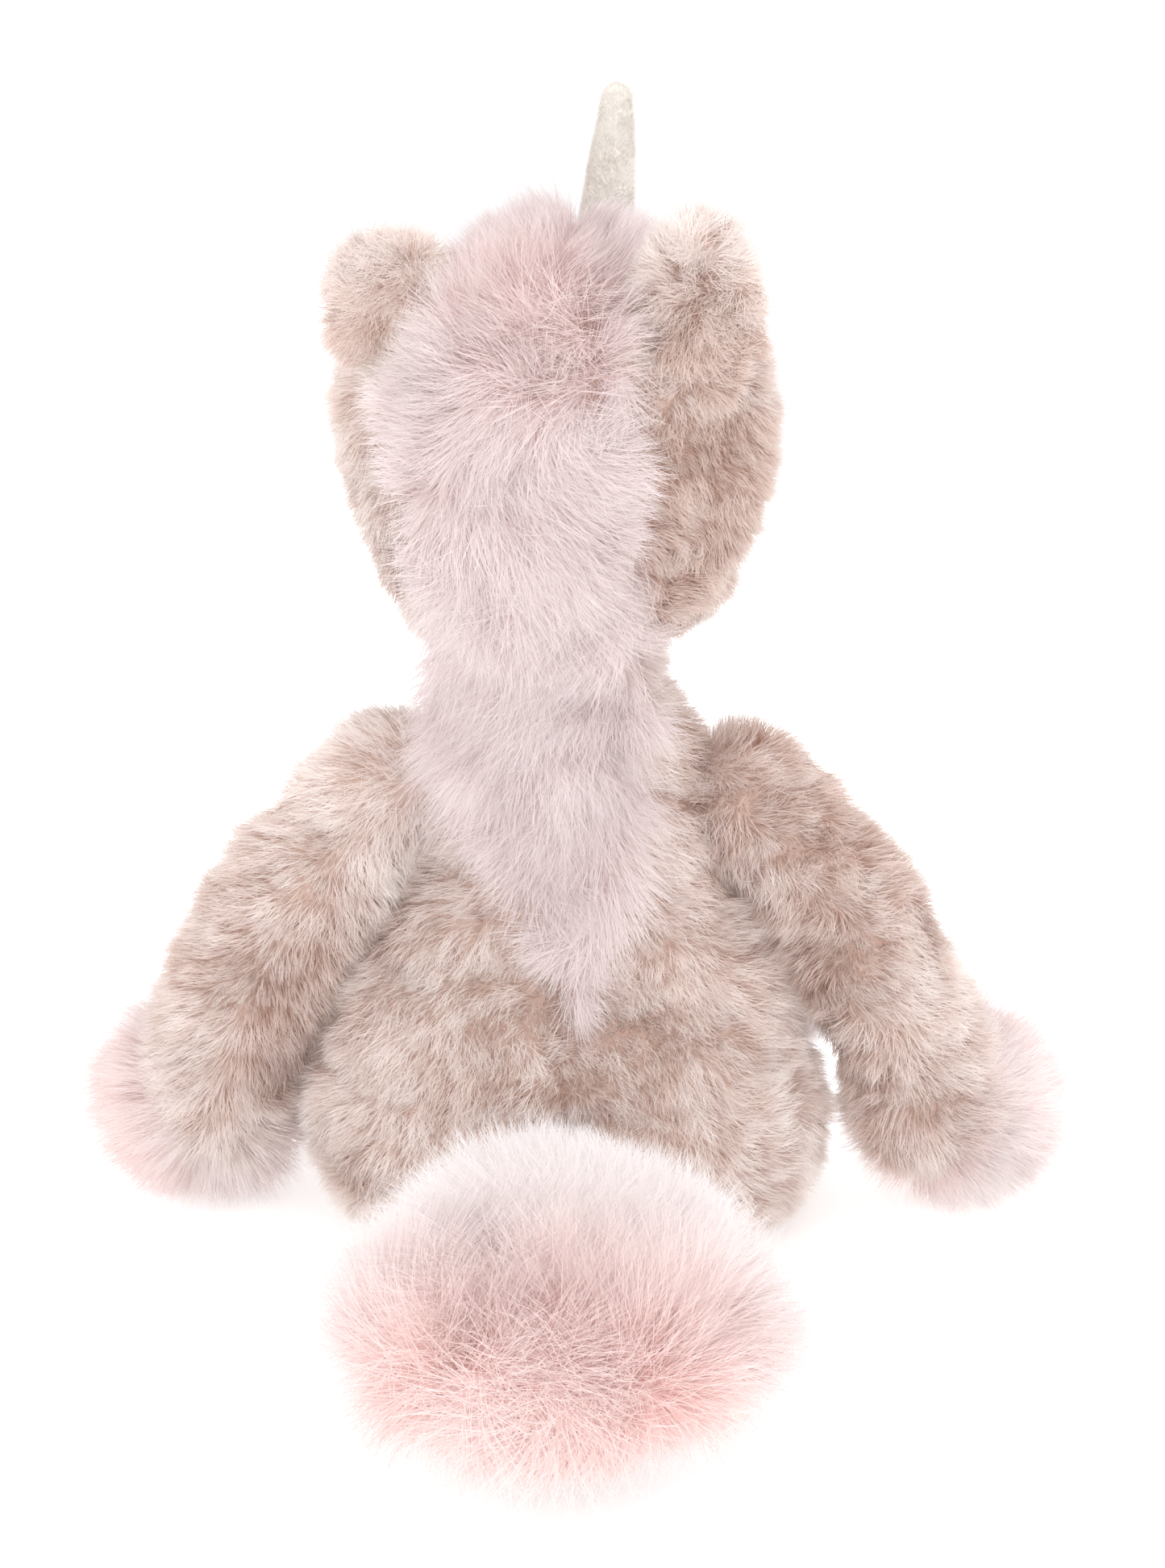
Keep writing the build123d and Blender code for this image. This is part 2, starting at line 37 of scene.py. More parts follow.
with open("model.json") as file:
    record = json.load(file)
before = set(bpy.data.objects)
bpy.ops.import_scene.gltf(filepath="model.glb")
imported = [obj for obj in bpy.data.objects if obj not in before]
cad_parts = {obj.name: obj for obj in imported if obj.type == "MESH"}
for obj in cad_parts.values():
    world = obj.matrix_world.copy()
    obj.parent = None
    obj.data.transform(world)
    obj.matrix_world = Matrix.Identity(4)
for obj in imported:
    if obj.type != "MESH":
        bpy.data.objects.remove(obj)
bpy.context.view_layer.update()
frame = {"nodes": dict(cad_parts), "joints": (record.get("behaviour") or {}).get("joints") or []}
PIVOTS = {j["name"]: np.array(j["pos_m"]) * 1000 for j in frame["joints"]}
SEED = 7310
MM = 0.001
UP = np.array([0.0, 0.0, 1.0])
SIDES = ("left", "right")

# --- The stuffed forms under the pile: (height, half width, half depth) for the ovals ---
FLOOR_GAP = 0.6  # the pile that the toy sits on is pressed flat above this height
PILE = 4.5  # how far the skins lie inside the CAD covers, which include the pile
TORSO = [
    (0, 52, 44), (9, 65, 54), (22, 71.5, 58), (38, 72.5, 58), (54, 68, 55), (70, 61, 50),
    (86, 53.5, 46), (102, 46.5, 42), (120, 43, 38), (136, 40, 34), (148, 35, 30), (158, 29, 26),
]
HEAD = [
    (166, 34, 33), (174, 43, 40), (186, 50, 46), (200, 55, 49), (216, 58.5, 50),
    (234, 59.5, 50), (248, 56, 47), (260, 47, 40), (268, 35, 30), (273, 18, 15),
]
HEAD_TURN = math.radians(-13.5)
HEAD_SHIFT = 1.5
ARM_MIDDLES = {"left": (78, 3, 87), "right": (-79.5, 4, 84)}
WRISTS = {"left": (97, -10, 37), "right": (-101, -2, 37)}
HANDS = {"left": (113, -38, 25), "right": (-122.5, -24, 25)}
ANKLES = {"left": (53, -104, 33), "right": (-51, -104, 33)}
MUZZLE = (0, -50, 201)  # in the head's own directions, as are the ears, the horn and the head's parting
# Each ear's middle and its half sizes
EARS = {"left": ((38, 24, 258), (14.5, 8.5, 17)), "right": ((-43, 25, 257), (12.5, 8.5, 21.5))}
HORN = ((-6, -24, 262.0), (-9.0, -27.5, 309.0))  # its root and its tip
HORN_RADII = (8.2, 4.0)
TAIL = np.array([2.0, 160.0, 35.0])
HEAD_PARTING = ((5.0, 32.0, 265.0), (-7.0, 40.0, 251.0))  # the pile grows away from this line
TAIL_PARTING = ((22.0, 198.0, 38.0), (-16.0, 202.0, 34.0))
ROOTS_PER_MM2 = {
    "torso": 2.7, "head": 2.9, "neck": 2.6, "sleeve": 3.0, "leg": 1.9, "hoof": 2.6, "leg_hoof": 2.4,
    "ear": 6.5, "mane": 5.0, "neck_mane": 5.5, "arm_cuff": 8.0, "leg_cuff": 6.0, "tail": 5.0,
    "stalk": 4.0, "velour": 13.0, "horn": 14.0,
}


def serial():
    """A fresh seeded source of random numbers for each piece."""
    serial.count += 1
    return np.random.default_rng(SEED + serial.count)


serial.count = 0


def sideways(x):
    """Vectors of length x along the X axis."""
    return np.stack([x, 0 * x, 0 * x], axis=-1)


def unit(v):
    return v / np.maximum(np.linalg.norm(v, axis=-1, keepdims=True), 1e-9)


def dot(a, b):
    return (a * b).sum(-1, keepdims=True)


def smooth_step(low, high, x):
    t = np.clip((x - low) / (high - low), 0, 1)
    return t * t * (3 - 2 * t)


def bump(x, width):
    """1 at zero, falling to nothing over the width."""
    return np.exp(-((x / width) ** 2))


def curve(xs, ys, x):
    """A smooth curve through the points, in Hermite pieces."""
    xs, ys = np.array(xs, float), np.array(ys, float)
    slope = np.gradient(ys, xs)
    k = np.clip(np.searchsorted(xs, x) - 1, 0, len(xs) - 2)
    h = xs[k + 1] - xs[k]
    t = (x - xs[k]) / h
    a = (1 + 2 * t) * (1 - t) ** 2 * ys[k] + t * (1 - t) ** 2 * h * slope[k]
    b = t * t * (3 - 2 * t) * ys[k + 1] + t * t * (t - 1) * h * slope[k + 1]
    return a + b


WAVES = np.random.default_rng(SEED).normal(size=(3, 7, 3))
PHASES = np.random.default_rng(SEED + 1).uniform(0, 2 * math.pi, (3, 7))


def drift(p, size, shift=0.0):
    """A smooth random vector at each point, about 1 long, that changes over the size."""
    q = p / size
    return np.stack(
        [np.sin(q @ WAVES[k].T * 1.6 + PHASES[k] + shift).sum(-1) / 2.3 for k in range(3)], axis=-1
    )


def hashed(cell, salt):
    """A random number from 0 to 1 for each whole-numbered cell."""
    v = cell @ np.array([12.9898, 78.233, 37.719]) + salt * 3.117
    s = np.sin(v) * 43758.5453
    return s - np.floor(s)


def tufts(p, size, salt):
    """The middle of the tuft that each point belongs to, and a random number for that tuft."""
    base = np.floor(p / size)
    best = np.full(len(p), 1e9)
    middle = np.zeros_like(p)
    number = np.zeros(len(p))
    for step in np.ndindex(3, 3, 3):
        cell = base + np.array(step) - 1
        jitter = np.stack([hashed(cell, salt + k) for k in range(3)], axis=-1)
        spot = (cell + jitter) * size
        far = ((spot - p) ** 2).sum(-1)
        near = far < best
        best[near] = far[near]
        middle[near] = spot[near]
        number[near] = hashed(cell[near], salt + 9)
    return middle, number


class Skin:
    """A closed form as rings of points between two poles, in millimetres, and its smooth normals."""

    def __init__(self, rings):
        rings = np.asarray(rings, float)
        rows, cols = rings.shape[:2]
        self.rows, self.cols = rows, cols
        low, high = rings[0].mean(0), rings[-1].mean(0)
        self.points = np.vstack([rings.reshape(-1, 3), low, high])
        r, c = np.meshgrid(np.arange(rows - 1), np.arange(cols), indexing="ij")
        a, b = r * cols + c, r * cols + (c + 1) % cols
        self.quads = np.stack([a, b, b + cols, a + cols], axis=-1).reshape(-1, 4)
        c = np.arange(cols)
        top = (rows - 1) * cols
        low_fan = np.stack([np.full(cols, rows * cols), (c + 1) % cols, c], axis=-1)
        high_fan = np.stack([np.full(cols, rows * cols + 1), top + c, top + (c + 1) % cols], axis=-1)
        self.fans = np.vstack([low_fan, high_fan])
        self.triangles = np.vstack([self.quads[:, [0, 1, 2]], self.quads[:, [0, 2, 3]], self.fans])
        self.face_out()

    def face_out(self):
        """Smooth normals, with the faces turned so that they all look out."""
        a, b, c = (self.points[self.triangles[:, k]] for k in range(3))
        if (a * np.cross(b, c)).sum() < 0:
            self.quads = self.quads[:, ::-1]
            self.fans = self.fans[:, ::-1]
            self.triangles = self.triangles[:, ::-1]
            a, c = c, a
        flat = np.cross(b - a, c - a)
        self.areas = np.linalg.norm(flat, axis=1) / 2
        self.normals = np.zeros_like(self.points)
        for k in range(3):
            np.add.at(self.normals, self.triangles[:, k], flat)
        self.normals = unit(self.normals)

    def pushed(self, amount):
        """The same skin with each point moved along its normal by amount(points, normals)."""
        self.points = self.points + self.normals * amount(self.points, self.normals)[:, None]
        self.face_out()
        return self

    def roots(self, per_mm2, rng, keep=None):
        """Places spread evenly over the skin, with their normals; keep says how likely each one stays."""
        share = 1.0
        n = int(self.areas.sum() * per_mm2 * share)
        pick = rng.choice(len(self.areas), n, p=self.areas / self.areas.sum())
        u, v = rng.random((2, n, 1))
        over = u + v > 1
        u, v = np.where(over, 1 - u, u), np.where(over, 1 - v, v)
        corner = [self.triangles[pick, k] for k in range(3)]
        w = (1 - u - v, u, v)
        p = sum(self.points[corner[k]] * w[k] for k in range(3))
        nrm = unit(sum(self.normals[corner[k]] * w[k] for k in range(3)))
        if keep is not None:
            stay = rng.random(n) < keep(p, nrm)
            p, nrm = p[stay], nrm[stay]
        return p, nrm


def mesh_object(name, points, loops, starts, body):
    """A mesh from millimetre points, riding on a body. The faces start at starts in the run of corners."""
    mesh = bpy.data.meshes.new(name)
    mesh.vertices.add(len(points))
    mesh.vertices.foreach_set("co", (points * MM).astype(np.float32).ravel())
    mesh.loops.add(len(loops))
    mesh.loops.foreach_set("vertex_index", loops.astype(np.int32))
    mesh.polygons.add(len(starts))
    mesh.polygons.foreach_set("loop_start", starts.astype(np.int32))
    mesh.update(calc_edges=True)
    made = bpy.data.objects.new(name, mesh)
    bpy.context.scene.collection.objects.link(made)
    if body is not None:
        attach(made, body)
    return made


def skin_object(name, skin, body, material, slot, *nodes, fill=0.8):
    """The shown cloth of a stuffed form, which stands for its CAD nodes."""
    loops = np.concatenate([skin.quads.ravel(), skin.fans.ravel()])
    quads, fans = len(skin.quads), len(skin.fans)
    starts = np.concatenate([np.arange(quads) * 4, quads * 4 + np.arange(fans) * 3])
    made = mesh_object(name, skin.points, loops, starts, body)
    made.data.polygons.foreach_set("use_smooth", np.ones(quads + fans, bool))
    made.data.materials.append(material)
    if nodes:
        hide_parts(*nodes)
    return made


def attribute(mesh, name, values):
    mesh.attributes.new(name, "FLOAT", "POINT").data.foreach_set("value", values.astype(np.float32))


LEAN_LIMITS = (-30, 95)  # degrees off the normal
LEAN_SPREAD = 8.0  # degrees, from fibre to fibre
TUFT_SHARE = 0.6  # how far a fibre takes after its tuft rather than itself
TAPER = 0.75  # how much of its width a ribbon loses on the way to its pointed end
TURN_OUT = 0.4  # how unevenly the ribbons' flat sides face outwards
CLUMP_CURVE = 1.4  # above 1, a tuft's fibres draw together mostly near their tips


def fibres(name, body, material, slot, p, n, flow, length, rng, *, lean, clumps, segments, width, ruffle,
           wave=0.6, wave_size=14.0, uneven=0.22, stray=0.4, lay=1.0, ridge=9.0, level=0.45, layers=12.0,
           shade=None):
    """A pile of tapering ribbons, each from a root p on its skin, leaning over towards flow.

    lean is the angle off the normal at the root and at the tip in degrees, and lay is the share of it at each
    root. wave swirls the flow from tuft to tuft, and stray turns single fibres. clumps are (size, strength)
    pairs that draw the tips together. ruffle varies the lean over ridges a ridge apart, in degrees, and the
    ridges lie more level the smaller that level is. layers varies the lean from tuft to tuft, in degrees.
    uneven is how much the lengths differ, and shade is how dark each fibre is, from 0 to 1.
    """
    count = len(p)
    coarse, number = tufts(p, clumps[-1][0], 1.0)
    flow = flow + np.reshape(wave, (-1, 1)) * drift(coarse, wave_size)
    flow = unit(flow - dot(flow, n) * n + 1e-6)
    flow = unit(flow + np.reshape(stray, (-1, 1)) * rng.normal(size=p.shape))
    flow = unit(flow - dot(flow, n) * n)
    folds = (0.6 * p + 0.4 * coarse) * [level, level, 1.0]
    tilt = ruffle * drift(folds, ridge, 2.0)[:, 0] + layers * (number - 0.5)
    tilt = tilt + rng.normal(scale=LEAN_SPREAD, size=count)
    reach = length * rng.uniform(1 - uneven, 1 + 0.35 * uneven, count) * (0.92 + 0.16 * number)
    line = [p]
    for s in range(segments):
        t = (s + 0.5) / segments
        angle = np.clip((lean[0] + (lean[1] - lean[0]) * t + tilt) * lay, *LEAN_LIMITS)
        angle = np.radians(angle)[:, None]
        ahead = n * np.cos(angle) + flow * np.sin(angle)
        line.append(line[-1] + unit(ahead) * (reach / segments)[:, None])
    for k, (size, strength) in enumerate(clumps):
        middle, _ = tufts(p, size, 1.0 if k == len(clumps) - 1 else 5.0 + k)
        off = p - middle
        off = off - dot(off, n) * n
        for s in range(1, segments + 1):
            line[s] = line[s] - off * strength * (s / segments) ** CLUMP_CURVE
    for s in range(1, segments + 1):
        line[s][:, 2] = np.maximum(line[s][:, 2], FLOOR_GAP)
    ahead = unit(line[-1] - line[0])
    side = unit(np.cross(ahead, n + TURN_OUT * rng.normal(size=p.shape)))
    per = 2 * segments + 1
    points = np.empty((count, per, 3))
    along = np.empty((count, per))
    for s in range(segments):
        t = s / segments
        half = side * (width / 2 * (1 - TAPER * t**2))
        points[:, 2 * s] = line[s] - half
        points[:, 2 * s + 1] = line[s] + half
        along[:, 2 * s : 2 * s + 2] = t
    points[:, -1] = line[-1]
    along[:, -1] = 1
    corners = []
    for s in range(segments - 1):
        corners += [2 * s, 2 * s + 1, 2 * s + 3, 2 * s + 2]
    last = 2 * (segments - 1)
    corners += [last, last + 1, last + 2]
    loops = (np.arange(count)[:, None] * per + np.array(corners)).ravel()
    step = np.arange(segments) * 4
    starts = (np.arange(count)[:, None] * len(corners) + step).ravel()
    made = mesh_object(name, points.reshape(-1, 3), loops, starts, body)
    attribute(made.data, "along", along.ravel())
    attribute(made.data, "tuft", np.repeat(TUFT_SHARE * number + (1 - TUFT_SHARE) * rng.random(count), per))
    deep = np.zeros(count) if shade is None else shade
    attribute(made.data, "deep", np.repeat(deep, per))
    grid = math.ceil(math.sqrt(count))
    cell = np.stack([np.arange(count) % grid, np.arange(count) // grid], axis=-1)[:, None, :]
    across = np.where(np.arange(per) % 2 == 0, 0.2, 0.8)  # each strand keeps clear of its cell's edges
    across[-1] = 0.5
    spot = np.stack([np.broadcast_to(across, (count, per)), 0.08 + 0.84 * along], axis=-1)
    uv = ((cell + spot) / grid).reshape(-1, 2)
    layer = made.data.uv_layers.new(name="OFBake")
    layer.data.foreach_set("uv", uv[loops].astype(np.float32).ravel())
    made.data.materials.append(material)
    made.visible_shadow = False  # light passes on through real pile, which is thin and pale
    return made


# --- Materials ---
def linear(colour):
    """A colour picked on a screen, from 0 to 255, as the shader wants it."""
    c = np.array(colour) / 255
    return tuple(np.where(c <= 0.04045, c / 12.92, ((c + 0.055) / 1.055) ** 2.4)) + (1.0,)


def plain_material(name, roughness=0.9, sheen=0.0, specular=0.2):
    made = bpy.data.materials.new(name)
    made.use_nodes = True
    shader = made.node_tree.nodes["Principled BSDF"]
    shader.inputs["Roughness"].default_value = roughness
    shader.inputs["Sheen Weight"].default_value = sheen
    shader.inputs["Sheen Roughness"].default_value = 0.5
    shader.inputs["Specular IOR Level"].default_value = specular
    return made, made.node_tree, shader


def ramp(tree, stops):
    node = tree.nodes.new("ShaderNodeValToRGB")
    while len(node.color_ramp.elements) < len(stops):
        node.color_ramp.elements.new(0.5)
    for element, (place, colour) in zip(node.color_ramp.elements, stops):
        element.position = place
        element.color = linear(colour)
    return node


def mixed(tree, factor, a, b, mode="MIX"):
    node = tree.nodes.new("ShaderNodeMix")
    node.data_type = "RGBA"
    node.blend_type = mode
    for socket, value in ((node.inputs[0], factor), (node.inputs[6], a), (node.inputs[7], b)):
        if isinstance(value, bpy.types.NodeSocket):
            tree.links.new(value, socket)
        else:
            socket.default_value = value
    return node.outputs[2]


def read(tree, name):
    node = tree.nodes.new("ShaderNodeAttribute")
    node.attribute_name = name
    return node.outputs["Fac"]


def math_node(tree, kind, *values):
    node = tree.nodes.new("ShaderNodeMath")
    node.operation = kind
    for socket, value in zip(node.inputs, values):
        if isinstance(value, bpy.types.NodeSocket):
            tree.links.new(value, socket)
        else:
            socket.default_value = value
    return node.outputs[0]


def noise(tree, scale, detail=2.0):
    node = tree.nodes.new("ShaderNodeTexNoise")
    node.inputs["Scale"].default_value = scale
    node.inputs["Detail"].default_value = detail
    place = tree.nodes.new("ShaderNodeTexCoord")
    tree.links.new(place.outputs["Object"], node.inputs["Vector"])
    return node.outputs["Fac"]


def pile_material(name, light, dark, sheen=0.25, gain=1.0):
    """Fibres coloured from a darker root, painted shade of the pile's depths, to the tip. light and dark are
    two sets of stops, and deep mixes them.
    """
    made, tree, shader = plain_material(name, 0.88, sheen)
    patch = noise(tree, 90.0)
    shifted = math_node(tree, "MULTIPLY_ADD", patch, 0.16, -0.08)
    along = math_node(tree, "ADD", read(tree, "along"), shifted)
    pale, rich = ramp(tree, light), ramp(tree, dark)
    tree.links.new(along, pale.inputs[0])
    tree.links.new(along, rich.inputs[0])
    both = mixed(tree, read(tree, "deep"), pale.outputs[0], rich.outputs[0])
    tone = ramp(tree, [(0.0, (240, 236, 235)), (1.0, (255, 255, 255))])
    for stop in tone.color_ramp.elements:
        stop.color = [gain * c for c in stop.color[:3]] + [1.0]
    tree.links.new(read(tree, "tuft"), tone.inputs[0])
    tree.links.new(mixed(tree, 1.0, both, tone.outputs[0], "MULTIPLY"), shader.inputs["Base Color"])
    return made


def cloth_material(name, colour, other, scale=260.0, roughness=0.92, sheen=0.2):
    """A knitted or velour cloth: two close tones in a fine mottle, with the same mottle as relief."""
    made, tree, shader = plain_material(name, roughness, sheen)
    grain = noise(tree, scale, 4.0)
    tones = ramp(tree, [(0.35, colour), (0.65, other)])
    tree.links.new(grain, tones.inputs[0])
    tree.links.new(tones.outputs[0], shader.inputs["Base Color"])
    relief = tree.nodes.new("ShaderNodeBump")
    relief.inputs["Strength"].default_value = 0.25
    relief.inputs["Distance"].default_value = 0.0006
    tree.links.new(grain, relief.inputs["Height"])
    tree.links.new(relief.outputs[0], shader.inputs["Normal"])
    return made


# Each pile runs from a darker root, painted shade of the pile's depths, to a paler tip
beige_pile = pile_material(
    "beige_pile",
    [(0.0, (218, 196, 187)), (0.3, (235, 221, 215)), (0.65, (246, 238, 234)), (1.0, (252, 248, 246))],
    [(0.0, (182, 144, 127)), (0.4, (211, 184, 172)), (0.8, (234, 219, 212)), (1.0, (247, 239, 235))],
)
mane_pile = pile_material(
    "mane_pile",
    [(0.0, (234, 211, 209)), (0.3, (238, 220, 219)), (0.65, (242, 230, 230)), (1.0, (246, 238, 238))],
    [(0.0, (242, 203, 198)), (0.4, (244, 216, 213)), (0.8, (246, 227, 225)), (1.0, (248, 236, 235))],
    gain=0.94,
)
fluffy_pile = pile_material(
    "fluffy_pile",
    [(0.0, (240, 228, 227)), (0.3, (242, 232, 231)), (0.65, (244, 238, 238)), (1.0, (247, 244, 244))],
    [(0.0, (246, 208, 203)), (0.4, (247, 218, 214)), (0.8, (248, 229, 227)), (1.0, (249, 238, 237))],
)
beige_cloth = cloth_material("beige_cloth", (206, 178, 165), (216, 190, 178))
pink_cloth = cloth_material("pink_cloth", (236, 213, 211), (240, 220, 218))
cream_velour = cloth_material("cream_velour", (240, 236, 229), (244, 241, 236), 900.0)
cream_fuzz = pile_material(
    "cream_fuzz",
    [(0.0, (238, 234, 227)), (0.5, (242, 238, 233)), (1.0, (245, 243, 238))],
    [(0.0, (206, 192, 172)), (1.0, (232, 224, 212))],
)
pink_fuzz = pile_material(
    "pink_fuzz",
    [(0.0, (212, 168, 166)), (0.5, (228, 190, 188)), (1.0, (242, 214, 212))],
    [(0.0, (196, 150, 148)), (1.0, (230, 196, 194))],
)
thread = cloth_material("rose_thread", (150, 108, 98), (176, 132, 120), 1500.0, 0.6)
dark_plastic, tree, shader = plain_material("dark_eye_plastic", 0.08, 0.0, 0.5)
tones = ramp(tree, [(0.3, (24, 15, 12)), (0.7, (34, 22, 18))])
tree.links.new(noise(tree, 40.0), tones.inputs[0])
tree.links.new(tones.outputs[0], shader.inputs["Base Color"])
white_plastic = cloth_material("washer_plastic", (236, 236, 234), (240, 240, 238), 60.0, 0.45, 0.0)


# --- Forms ---
def rings_of_ovals(sections, inset, rows, cols, local=None):
    """Level rings through the ovals, drawn in by inset, closed with a small dome at each end."""
    z, a, b = (np.array([s[k] for s in sections], float) for k in range(3))
    at = np.linspace(z[0], z[-1], rows)
    wide = curve(z, a, at) - inset
    deep = curve(z, b, at) - inset
    level = z[0] + inset + (at - z[0]) * (z[-1] - z[0] - 2 * inset) / (z[-1] - z[0])
    ends = np.array([0.25, 0.55, 0.8, 0.94])
    wide = np.concatenate([wide[0] * ends, wide, wide[-1] * ends[::-1]])
    deep = np.concatenate([deep[0] * ends, deep, deep[-1] * ends[::-1]])
    low = level[0] - 2.0 * (1 - ends**2)
    high = level[-1] + 2.0 * (1 - ends[::-1] ** 2)
    level = np.concatenate([low, level, high])
    turn = np.linspace(0, 2 * math.pi, cols, endpoint=False)
    x = wide[:, None] * np.cos(turn)
    y = deep[:, None] * np.sin(turn)
    rings = np.stack([x, y, np.broadcast_to(level[:, None], x.shape)], axis=-1)
    return rings if local is None else local(rings)


def in_head(p):
    """From the turned head's own directions to the row frame."""
    p = np.asarray(p, float)
    c, s = math.cos(HEAD_TURN), math.sin(HEAD_TURN)
    x = HEAD_SHIFT + c * p[..., 0] - s * p[..., 1]
    y = s * p[..., 0] + c * p[..., 1]
    return np.stack([x, y, p[..., 2]], axis=-1)


def from_head(p):
    """From the row frame to the turned head's own directions."""
    p = np.asarray(p, float)
    c, s = math.cos(HEAD_TURN), math.sin(HEAD_TURN)
    x = p[..., 0] - HEAD_SHIFT
    return np.stack([c * x + s * p[..., 1], -s * x + c * p[..., 1], p[..., 2]], axis=-1)


def arc_points(a, b, c, n):
    """n points on the circle through three points, from a to c."""
    a, b, c = (np.array(v, float) for v in (a, b, c))
    u, v = b - a, c - a
    w = np.cross(u, v)
    centre = a + (np.cross(w, u) * (v @ v) + np.cross(v, w) * (u @ u)) / (2 * (w @ w))
    x = unit(a - centre)
    y = unit(np.cross(unit(w), x))
    end = math.atan2((c - centre) @ y, (c - centre) @ x) % (2 * math.pi)
    t = np.linspace(0, end, n)[:, None]
    return centre + np.linalg.norm(a - centre) * (np.cos(t) * x + np.sin(t) * y)


def tube_rings(line, radius, cols, round_start=True, round_end=True):
    """Rings round a centreline, with round ends. radius is a number or one for each point."""
    line = np.asarray(line, float)
    radius = np.broadcast_to(np.asarray(radius, float), len(line)).copy()
    ahead = unit(np.gradient(line, axis=0))
    dome = np.radians([80, 60, 40, 20])
    if round_start:
        steps = line[0] - ahead[0] * (radius[0] * np.sin(dome))[:, None]
        line = np.vstack([steps, line])
        radius = np.concatenate([radius[0] * np.cos(dome), radius])
        ahead = np.vstack([np.repeat(ahead[:1], 4, 0), ahead])
    if round_end:
        steps = line[-1] + ahead[-1] * (radius[-1] * np.sin(dome[::-1]))[:, None]
        line = np.vstack([line, steps])
        radius = np.concatenate([radius, radius[-1] * np.cos(dome[::-1])])
        ahead = np.vstack([ahead, np.repeat(ahead[-1:], 4, 0)])
    across = unit(np.cross(ahead[0], UP + 0.01))
    turn = np.linspace(0, 2 * math.pi, cols, endpoint=False)[:, None]
    rings = []
    for place, way, r in zip(line, ahead, radius):
        across = unit(across - (across @ way) * way)
        other = np.cross(way, across)
        rings.append(place + r * (np.cos(turn) * across + np.sin(turn) * other))
    return np.array(rings)


def egg_rings(centre, halves, rows, cols, local=None, axis=1):
    """Rings of an ellipsoid whose poles lie along one axis."""
    tilt = np.linspace(-math.pi / 2, math.pi / 2, rows + 2)[1:-1]
    turn = np.linspace(0, 2 * math.pi, cols, endpoint=False)
    order = [(axis + 1) % 3, (axis + 2) % 3, axis]
    p = np.empty((rows, cols, 3))
    p[..., order[0]] = np.cos(tilt)[:, None] * np.cos(turn)
    p[..., order[1]] = np.cos(tilt)[:, None] * np.sin(turn)
    p[..., order[2]] = np.sin(tilt)[:, None]
    p = np.array(centre) + p * np.array(halves)
    return p if local is None else local(p)


FILLING_SHIFT = 4.0
BODY_LUMPS = (24.0, 0.9)  # how far apart and how high the filling's lumps are on the torso and the head


def filling(p, size, height):
    """How far the uneven filling pushes a soft cover out at each point."""
    return height * drift(p, size, FILLING_SHIFT)[:, 1]


def lumps(size, height):
    """The uneven filling alone, as a change to a skin."""
    return lambda p, n: filling(p, size, height)


# The three kinds of pile
SHORT = dict(length=9.0, lean=(16, 50), wave=0.65, wave_size=12.0, clumps=((1.8, 0.34), (4.8, 0.42)),
             segments=2, width=0.23, ruffle=24.0, ridge=5.5, layers=20.0)
LONG = dict(lean=(14, 56), wave=0.6, wave_size=14.0, clumps=((2.4, 0.36), (8.5, 0.58)), segments=3,
            width=0.23, uneven=0.36, ruffle=14.0, ridge=12.0, level=1.0, layers=34.0)
VELOUR = dict(segments=2, width=0.18, lean=(30, 70), clumps=((1.2, 0.2), (5.0, 0.1)), ruffle=8.0)
BROWN = 0.34  # how brown the short pile is on average, from 0 to 1


def worn(p):
    """How brown the short pile is at each point, in broad patches and in small tufts."""
    return BROWN + 0.14 * drift(p, 13.0, 1.0)[:, 0] + 0.24 * drift(p, 4.5, 3.0)[:, 1]


def flushed(p, size, pink):
    """How pink the fluffy pile is at each point, in patches of one size round a middle value."""
    return np.clip(pink + 0.3 * drift(p, size)[:, 2], 0, 1)


def short_fur(name, body, p, n, flow, rng, shade=None, **more):
    made = {**SHORT, **more}
    length = made.pop("length")
    return fibres(name, body, beige_pile, "beige_plush", p, n, flow, np.broadcast_to(length, len(p)), rng,
                  shade=shade, **made)


def long_fur(name, body, p, n, flow, length, rng, shade=None, pile=fluffy_pile, **more):
    made = {**LONG, **more}
    return fibres(name, body, pile, "pink_long_pile", p, n, flow, length, rng, shade=shade, **made)


def velour(name, body, skin, material, slot, flow, length, rng, per_mm2=ROOTS_PER_MM2["velour"], keep=None):
    """A close fuzz over a skin, all leaning towards one flow."""
    p, n = skin.roots(per_mm2, rng, keep)
    return fibres(name, body, material, slot, p, n, flow + 0 * p, np.full(len(p), length), rng, **VELOUR)


# The long pile of the mane covers these parts of the head and the back.
def mane_on_head(q):
    """True inside the mane, for points in the head's own directions."""
    heights = [165, 184, 215, 232, 240, 252, 300]
    left = np.interp(q[:, 2], heights, [18, 21, 25, 31, 28, 21, 18])
    right = np.interp(q[:, 2], heights, [18, 20, 23, 27, 25, 22, 20])
    front_edge = np.where(q[:, 2] > 262, -14, 0)
    return (q[:, 0] < left) & (q[:, 0] > -right) & (q[:, 1] > front_edge)


def mane_on_back(p):
    """True inside the mane's long point on the back."""
    heights = [74, 92, 112, 130, 150]
    left = np.interp(p[:, 2], heights, [-1, 4, 13, 20, 24])
    right = np.interp(p[:, 2], heights, [-4, -9, -13, -13, -14])
    return (p[:, 0] < left) & (p[:, 0] > right) & (p[:, 1] > 0) & (p[:, 2] > heights[0])


def off_parting(p, start, end):
    """From the nearest point of a parting line to each point."""
    start, end = np.asarray(start, float), np.asarray(end, float)
    t = np.clip((p - start) @ (end - start) / ((end - start) @ (end - start)), 0, 1)[:, None]
    return p - (start + t * (end - start))


ARM_LINES = {
    word: arc_points(PIVOTS[f"{word}_arm_swing"], ARM_MIDDLES[word], WRISTS[word], 30) for word in SIDES
}


